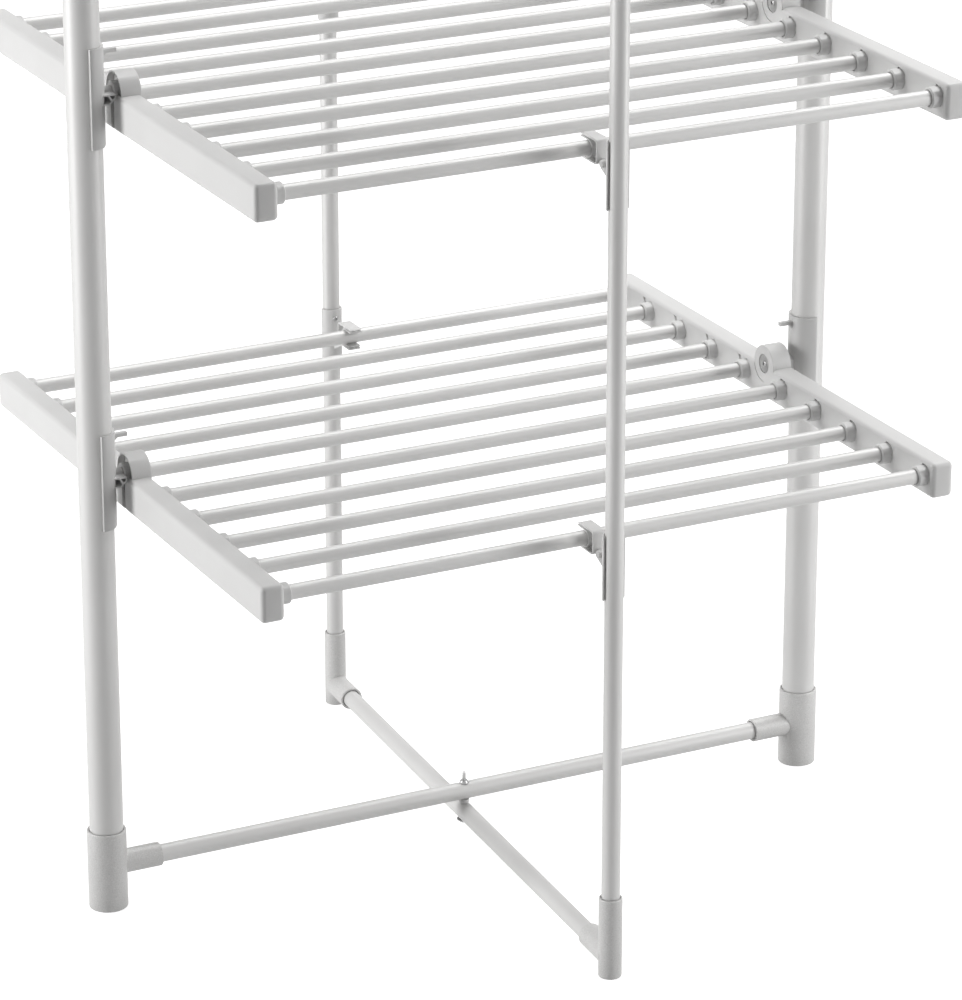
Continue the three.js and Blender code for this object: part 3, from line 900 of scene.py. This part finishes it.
def clip_mesh(distance):
    """Clip with its pole on the Z axis and its bar at y = distance. z = 0 is the bar's height."""
    outline = arc((0, 0), CLIP_OUTER, 0, 180, FINE) + arc((0, 0), CLIP_INNER, 180, 0, FINE)
    sleeve = prism(outline, -CLIP_FALL, CLIP_RISE)
    pad = block((-CLIP_PAD_WIDTH / 2, POLE_RADIUS, -CLIP_FALL + 2 * CLIP_EDGE),
                (CLIP_PAD_WIDTH / 2, CLIP_OUTER - CLIP_EDGE, CLIP_RISE - 2 * CLIP_EDGE))
    back = distance - HOOK_BACK
    front = distance + HOOK_REACH
    hook = prism(rounded_rectangle(back, front, -HOOK_FALL, HOOK_RISE, HOOK_ROUND),
                 -HOOK_WIDTH / 2, HOOK_WIDTH / 2, "X")
    web = prism([
        (CLIP_INNER, WEB_RISE), (CLIP_INNER, -WEB_FOOT), (CLIP_OUTER, -WEB_FOOT), (back, -WEB_KNEE),
        (back + HOOK_ROUND, -HOOK_FALL + WEB_OVERLAP), (back + HOOK_ROUND, WEB_RISE),
    ], -WEB_THICKNESS / 2, WEB_THICKNESS / 2, "X")
    boss = rod_x(CLIP_BOSS_RADIUS, -CLIP_BOSS_LENGTH / 2, CLIP_BOSS_LENGTH / 2,
                 back - CLIP_BOSS_SETBACK, -CLIP_BOSS_DROP, SMALL, CLIP_BOSS_EDGE)
    reach = HOOK_WIDTH
    ring = SEAT_RADIUS + SEAT_WALL
    outline = rounded_rectangle(back + HOOK_WALL, front + HOLLOW_OVERRUN, -HOOK_FALL + HOOK_WALL,
                                HOOK_RISE - HOOK_WALL, HOOK_ROUND - HOOK_WALL)
    keep = rod_x(ring, -OVERRUN, reach + OVERRUN, distance, 0, FINE)
    mouth = block((-OVERRUN, distance, -ring), (reach + OVERRUN, front + MOUTH_OVERRUN, ring))
    hollow = combined(prism(outline, 0, reach, "X"), [("DIFFERENCE", keep), ("DIFFERENCE", mouth)])
    mirror = Matrix.Scale(-1, 4, (1, 0, 0))
    right = moved(hollow.copy(), Matrix.Translation((HOOK_HALF_FLOOR, 0, 0)))
    left = moved(hollow, Matrix.Translation((-HOOK_HALF_FLOOR, 0, 0)) @ mirror)
    end = front + LONG_OVERRUN
    slot = block((-reach, distance, -SEAT_RADIUS), (reach, end, SEAT_RADIUS))
    past_lip = block((-reach, distance + LIP_LENGTH, -HOOK_FALL - OVERRUN), (reach, end, 0))
    whole = combined(sleeve, [
        ("UNION", pad), ("UNION", web), ("UNION", boss), ("UNION", hook),
        ("DIFFERENCE", right), ("DIFFERENCE", left),
        ("DIFFERENCE", rod_x(SEAT_RADIUS, -reach, reach, distance, 0, FINE)),
        ("DIFFERENCE", slot), ("DIFFERENCE", past_lip),
    ])
    return softened(whole, CLIP_EDGE)


def clip_screw_mesh():
    """Screw head with a drive hole, on the sleeve's hook side, in the clip's own axes."""
    crown = dome(CLIP_SCREW_RADIUS, 0, CLIP_SCREW_HEIGHT, CLIP_SCREW_STEP)
    hole_radius = crown[-1][0]
    hole_floor = -CLIP_SCREW_HEIGHT / 4
    head = turned([(0, -CLIP_SCREW_HEIGHT / 2), (CLIP_SCREW_RADIUS, -CLIP_SCREW_HEIGHT / 2), *crown,
                   (hole_radius, hole_floor), (0, hole_floor)], SMALL)
    seat = Matrix.Translation((0, CLIP_OUTER, CLIP_RISE - CLIP_SCREW_DROP))
    return moved(head, seat @ Matrix.Rotation(-math.pi / 2, 4, "X"))


def make_clips():
    screw = clip_screw_mesh()
    for wing_name, way in WINGS:
        axis = pole_axis[wing_name]
        clip = clip_mesh(abs(axis.y) - bar_places[-1])
        for tier in TIERS:
            node = f"{tier}_{wing_name}_pole_clip"
            height = rail_top(tier) - bar_drop
            place = Matrix.Translation((axis.x, axis.y, height)) @ half_turn(way)
            mesh = moved(clip.copy(), place)
            piece(f"{node}_moulding", mesh, PLASTIC, "cross_frame", (node,))
            piece(f"{node}_screw", moved(screw.copy(), place), STEEL, "cross_frame")


# Base tubes and centre pivot

def base_tube_mesh(half, dent):
    """Base tube along X, with a dent on top where the rivet draws it in."""
    bm = bmesh.new()
    bm.from_mesh(ring_form(tube_profile(BASE_RADIUS, BASE_WALL, -half, half), FINE))
    for n in range(2 * DENT_STEPS + 1):
        station = DENT_LENGTH * DENT_REACH * (n / DENT_STEPS - 1)
        everything = bm.verts[:] + bm.edges[:] + bm.faces[:]
        bmesh.ops.bisect_plane(bm, geom=everything, plane_co=(0, 0, station), plane_no=(0, 0, 1))
    mesh = bpy.data.meshes.new("base_tube")
    bm.to_mesh(mesh)
    bm.free()
    moved(mesh, ALONG_X)
    if dent:
        for vertex in mesh.vertices:
            fade = math.exp(-(vertex.co.x / (DENT_LENGTH * DENT_FADE)) ** 2)
            crown = max(vertex.co.z / BASE_RADIUS, 0) ** 2
            vertex.co.z -= DENT_DEPTH * fade * crown
    return mesh


def rivet_mesh():
    """Rivet on the Z axis: head under the lower tube, pin, and nut and tip on the upper tube."""
    bottom = low_tube_z - BASE_RADIUS
    seat = high_tube_z + BASE_RADIUS - DENT_DEPTH
    pin_top = seat + RIVET_HEIGHT + RIVET_PIN_LENGTH
    head = [(RIVET_HEAD_RADIUS * r, bottom - RIVET_HEAD_HEIGHT * h) for r, h in RIVET_HEAD_FORM]
    nut = [(RIVET_BASE * r, seat + RIVET_HEIGHT * h) for r, h in RIVET_NUT_FORM]
    return turned([
        (0, bottom - RIVET_HEAD_HEIGHT), *head, (RIVET_HEAD_RADIUS, bottom),
        (RIVET_PIN_RADIUS, bottom), (RIVET_PIN_RADIUS, seat),
        (RIVET_BASE, seat), (RIVET_BASE, seat + RIVET_RIM), *nut,
        (RIVET_PIN_RADIUS, seat + RIVET_HEIGHT), (RIVET_PIN_RADIUS, pin_top - RIVET_TIP),
        (RIVET_PIN_RADIUS * RIVET_TIP_SHARE, pin_top), (0, pin_top),
    ], FINE)


def make_base():
    node = "upper_base_tube"
    upper = base_tube_mesh(high(node).x, dent=True)
    place = Matrix.Translation((0, 0, high_tube_z))
    piece("upper_cross_tube", moved(upper, place), CROSS_TUBE, "main_frame", (node,))
    node = "lower_base_tube"
    direction = pole_axis["rear"].normalized()
    lower = base_tube_mesh(reach_along(node, Vector(), direction), dent=False)
    turn = Matrix.Rotation(math.atan2(direction.y, direction.x), 4, "Z")
    place = Matrix.Translation((0, 0, low_tube_z)) @ turn
    piece("lower_cross_tube", moved(lower, place), DEPTH_TUBE, "cross_frame", (node,))
    node = "centre_pivot_bolt"
    piece("centre_rivet", rivet_mesh(), STEEL, "main_frame", (node,))
    node = "centre_pivot_spacer"
    wall = SPACER_RADIUS - RIVET_PIN_RADIUS - SPACER_GAP
    spacer = ring_form(tube_profile(SPACER_RADIUS, wall, low(node).z, high(node).z), FINE)
    piece("centre_spacer_ring", spacer, BRACKET_PLASTIC, "main_frame", (node,))


# Studio

def add_camera():
    data = bpy.data.cameras.new("camera")
    data.lens = FOCAL_PIXELS / LONG_SIDE_PIXELS * data.sensor_width
    camera = new_object("camera", data)
    camera.location = CAMERA_PLACE
    camera.rotation_euler = (math.radians(90 - CAMERA_PITCH), 0, math.radians(-CAMERA_YAW))
    bpy.context.scene.camera = camera


def add_lamp(name, place, size, power):
    data = bpy.data.lights.new(name, "AREA")
    data.shape = "RECTANGLE"
    data.size, data.size_y = size
    data.energy = power
    lamp = new_object(name, data)
    lamp.location = place
    lamp.rotation_euler = (Vector(LAMP_TARGET) - Vector(place)).to_track_quat("-Z", "Y").to_euler()


def white_for_view(tree, shaded, target):
    """Shows plain white to the camera, to reflections and through glass, and shaded otherwise."""
    path = tree.nodes.new("ShaderNodeLightPath")
    highest = path.outputs["Is Camera Ray"]
    for name in ("Is Glossy Ray", "Is Transmission Ray"):
        step = tree.nodes.new("ShaderNodeMath")
        step.operation = "MAXIMUM"
        tree.links.new(highest, step.inputs[0])
        tree.links.new(path.outputs[name], step.inputs[1])
        highest = step.outputs["Value"]
    mix = tree.nodes.new("ShaderNodeMixShader")
    tree.links.new(highest, mix.inputs["Fac"])
    tree.links.new(shaded[0], mix.inputs[1])
    tree.links.new(shaded[1], mix.inputs[2])
    tree.links.new(mix.outputs["Shader"], target)


def add_world():
    world = bpy.data.worlds.new("studio")
    bpy.context.scene.world = world
    world.use_nodes = True
    tree = world.node_tree
    lit = tree.nodes["Background"]
    lit.inputs["Color"].default_value = WHITE
    lit.inputs["Strength"].default_value = WORLD_STRENGTH
    seen = tree.nodes.new("ShaderNodeBackground")
    seen.inputs["Color"].default_value = WHITE
    seen.inputs["Strength"].default_value = 1
    outputs = (lit.outputs["Background"], seen.outputs["Background"])
    white_for_view(tree, outputs, tree.nodes["World Output"].inputs["Surface"])


def add_floor():
    mesh = bpy.data.meshes.new("floor")
    half = FLOOR_SIZE / 2
    corners = [(-half, -half, 0), (half, -half, 0), (half, half, 0), (-half, half, 0)]
    mesh.from_pydata(corners, [], [(0, 1, 2, 3)])
    floor = new_object("floor", mesh)
    material = bpy.data.materials.new("floor")
    material.use_nodes = True
    tree = material.node_tree
    plain = tree.nodes["Principled BSDF"]
    plain.inputs["Base Color"].default_value = (*grey(FLOOR_GREY), 1)
    plain.inputs["Roughness"].default_value = FLOOR_ROUGHNESS
    glow = tree.nodes.new("ShaderNodeEmission")
    glow.inputs["Strength"].default_value = FLOOR_GLOW
    lifted = tree.nodes.new("ShaderNodeAddShader")
    tree.links.new(plain.outputs["BSDF"], lifted.inputs[0])
    tree.links.new(glow.outputs["Emission"], lifted.inputs[1])
    outputs = (plain.outputs["BSDF"], lifted.outputs["Shader"])
    white_for_view(tree, outputs, tree.nodes["Material Output"].inputs["Surface"])
    mesh.materials.append(material)


def add_studio():
    add_world()
    add_floor()
    for lamp in LAMPS:
        add_lamp(*lamp)


bpy.context.scene.view_settings.view_transform = "Standard"
add_camera()
make_uprights()
make_brackets()
make_wings()
make_clips()
make_base()
add_studio()
